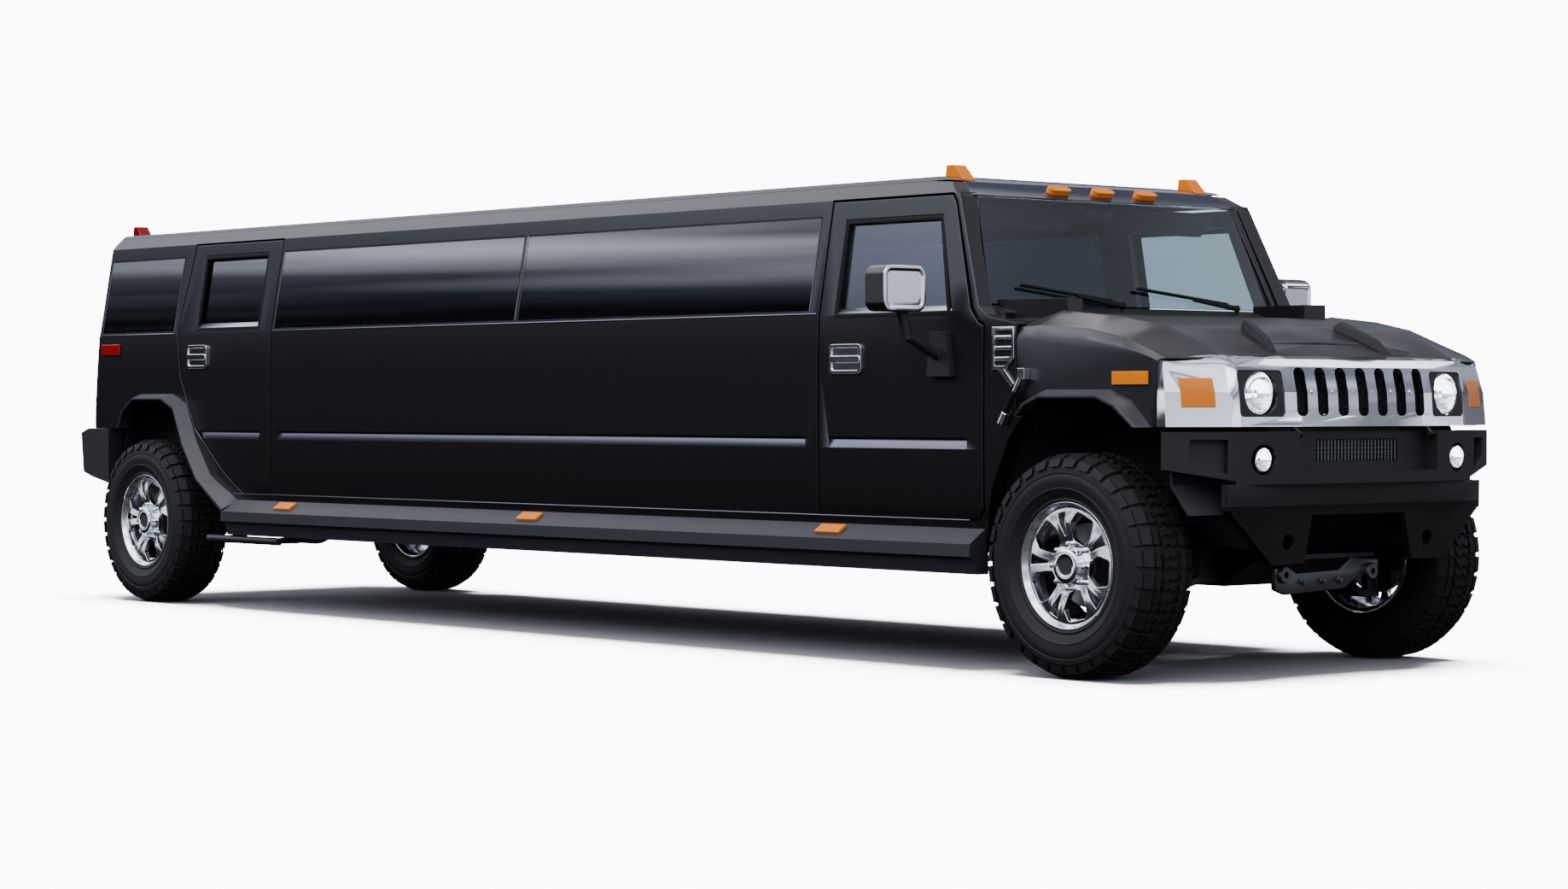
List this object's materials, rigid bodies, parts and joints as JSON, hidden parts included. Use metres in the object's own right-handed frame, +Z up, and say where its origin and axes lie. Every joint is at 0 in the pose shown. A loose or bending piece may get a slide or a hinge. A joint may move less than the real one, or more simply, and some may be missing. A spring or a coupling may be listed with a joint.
{
  "type": "stretch limousine",
  "caption": "Stretched four-wheel-drive limousine with a tilting front, grille surround, side doors, top-hinged tailgate, steered front wheels and a hollow cabin.",
  "frame": {"origin": "on the ground below the middle of the vehicle's length and width", "axes": "+X forward, +Y to the vehicle's left, +Z up"},
  "size_m": [8.354, 2.5824, 2.042],
  "materials": {
    "chassis_steel": "satin black chassis paint",
    "floor_trim": "matt",
    "body_paint": "satin black paint",
    "dark_glass": "tinted",
    "black_plastic": "grained",
    "bright_chrome": "polished",
    "clear_lens": "clear",
    "amber_lens": "gloss",
    "red_lens": "gloss",
    "seat_leather": "grained",
    "tyre_rubber": "matt"
  },
  "bodies": {
    "body": {"frame_rails": "chassis_steel", "floor_pan": "floor_trim", "front_liners": "floor_trim", "body_side_left": "body_paint", "body_side_right": "body_paint", "roof_panel": "body_paint", "rear_frame": "body_paint", "cowl": "body_paint", "windscreen": "dark_glass", "side_glass": "dark_glass", "front_bumper": "black_plastic", "fog_lamps": "clear_lens", "front_skid": "black_plastic", "rear_bumper": "black_plastic", "sill_cladding_left": "black_plastic", "sill_cladding_right": "black_plastic", "front_suspension": "chassis_steel", "rear_axle": "chassis_steel", "underbody": "chassis_steel", "engine_and_radiator": "chassis_steel", "dashboard": "black_plastic", "seats": "seat_leather", "marker_lamps": "amber_lens", "red_lamps": "red_lens", "side_vents": "bright_chrome"},
    "hood": {"hood_shell": "body_paint", "grille_surround": "bright_chrome", "headlamp_bezels": "black_plastic", "headlamps": "clear_lens", "hood_lamps": "amber_lens", "hood_fittings": "black_plastic"},
    "tailgate": {"tailgate": "body_paint", "tailgate_glass": "dark_glass"},
    "front_door_left": {"door_front_left": "body_paint", "door_front_glass_left": "dark_glass", "handle_front_left": "bright_chrome", "mirror_left": "bright_chrome"},
    "rear_door_left": {"door_rear_left": "body_paint", "door_rear_glass_left": "dark_glass", "handle_rear_left": "bright_chrome"},
    "steer_left": {"knuckle_left": "chassis_steel"},
    "wheel_front_left": {"rim_front_left": "bright_chrome", "tyre_front_left": "tyre_rubber"},
    "wheel_rear_left": {"rim_rear_left": "bright_chrome", "tyre_rear_left": "tyre_rubber"},
    "front_door_right": {"door_front_right": "body_paint", "door_front_glass_right": "dark_glass", "handle_front_right": "bright_chrome", "mirror_right": "bright_chrome"},
    "rear_door_right": {"door_rear_right": "body_paint", "door_rear_glass_right": "dark_glass", "handle_rear_right": "bright_chrome"},
    "steer_right": {"knuckle_right": "chassis_steel"},
    "wheel_front_right": {"rim_front_right": "bright_chrome", "tyre_front_right": "tyre_rubber"},
    "wheel_rear_right": {"rim_rear_right": "bright_chrome", "tyre_rear_right": "tyre_rubber"}
  },
  "joints": [
    {"name": "hood_hinge", "type": "hinge", "parent": "body", "child": "hood", "pos_m": [4.155, 0, 0.942], "axis": [0, 1, 0], "range_deg": [0, 55]},
    {"name": "front_door_left_hinge", "type": "hinge", "parent": "body", "child": "front_door_left", "pos_m": [2.958, 0.937, 1], "axis": [0, 0, -1], "range_deg": [0, 65]},
    {"name": "rear_door_left_hinge", "type": "hinge", "parent": "body", "child": "rear_door_left", "pos_m": [-2.309, 0.937, 1], "axis": [0, 0, -1], "range_deg": [0, 65]},
    {"name": "front_door_right_hinge", "type": "hinge", "parent": "body", "child": "front_door_right", "pos_m": [2.958, -0.937, 1], "axis": [0, 0, 1], "range_deg": [0, 65]},
    {"name": "rear_door_right_hinge", "type": "hinge", "parent": "body", "child": "rear_door_right", "pos_m": [-2.309, -0.937, 1], "axis": [0, 0, 1], "range_deg": [0, 65]},
    {"name": "tailgate_hinge", "type": "hinge", "parent": "body", "child": "tailgate", "pos_m": [-4.009, 0, 1.868], "axis": [0, 1, 0], "range_deg": [0, 80]},
    {"name": "steer_left_kingpin", "type": "hinge", "parent": "body", "child": "steer_left", "pos_m": [3.503, 0.8, 0.436], "axis": [0, 0, 1], "range_deg": [-32, 32]},
    {"name": "steer_right_kingpin", "type": "hinge", "parent": "body", "child": "steer_right", "pos_m": [3.503, -0.8, 0.436], "axis": [0, 0, 1], "range_deg": [-32, 32]},
    {"name": "wheel_front_left_spin", "type": "hinge", "parent": "steer_left", "child": "wheel_front_left", "pos_m": [3.503, 0.87, 0.436], "axis": [0, 1, 0], "continuous": true},
    {"name": "wheel_front_right_spin", "type": "hinge", "parent": "steer_right", "child": "wheel_front_right", "pos_m": [3.503, -0.87, 0.436], "axis": [0, 1, 0], "continuous": true},
    {"name": "wheel_rear_left_spin", "type": "hinge", "parent": "body", "child": "wheel_rear_left", "pos_m": [-3.457, 0.87, 0.436], "axis": [0, 1, 0], "continuous": true},
    {"name": "wheel_rear_right_spin", "type": "hinge", "parent": "body", "child": "wheel_rear_right", "pos_m": [-3.457, -0.87, 0.436], "axis": [0, 1, 0], "continuous": true}
  ],
  "couplings": [
    {"joint": "steer_left_kingpin", "follows": "steer_right_kingpin", "ratio": 1}
  ]
}
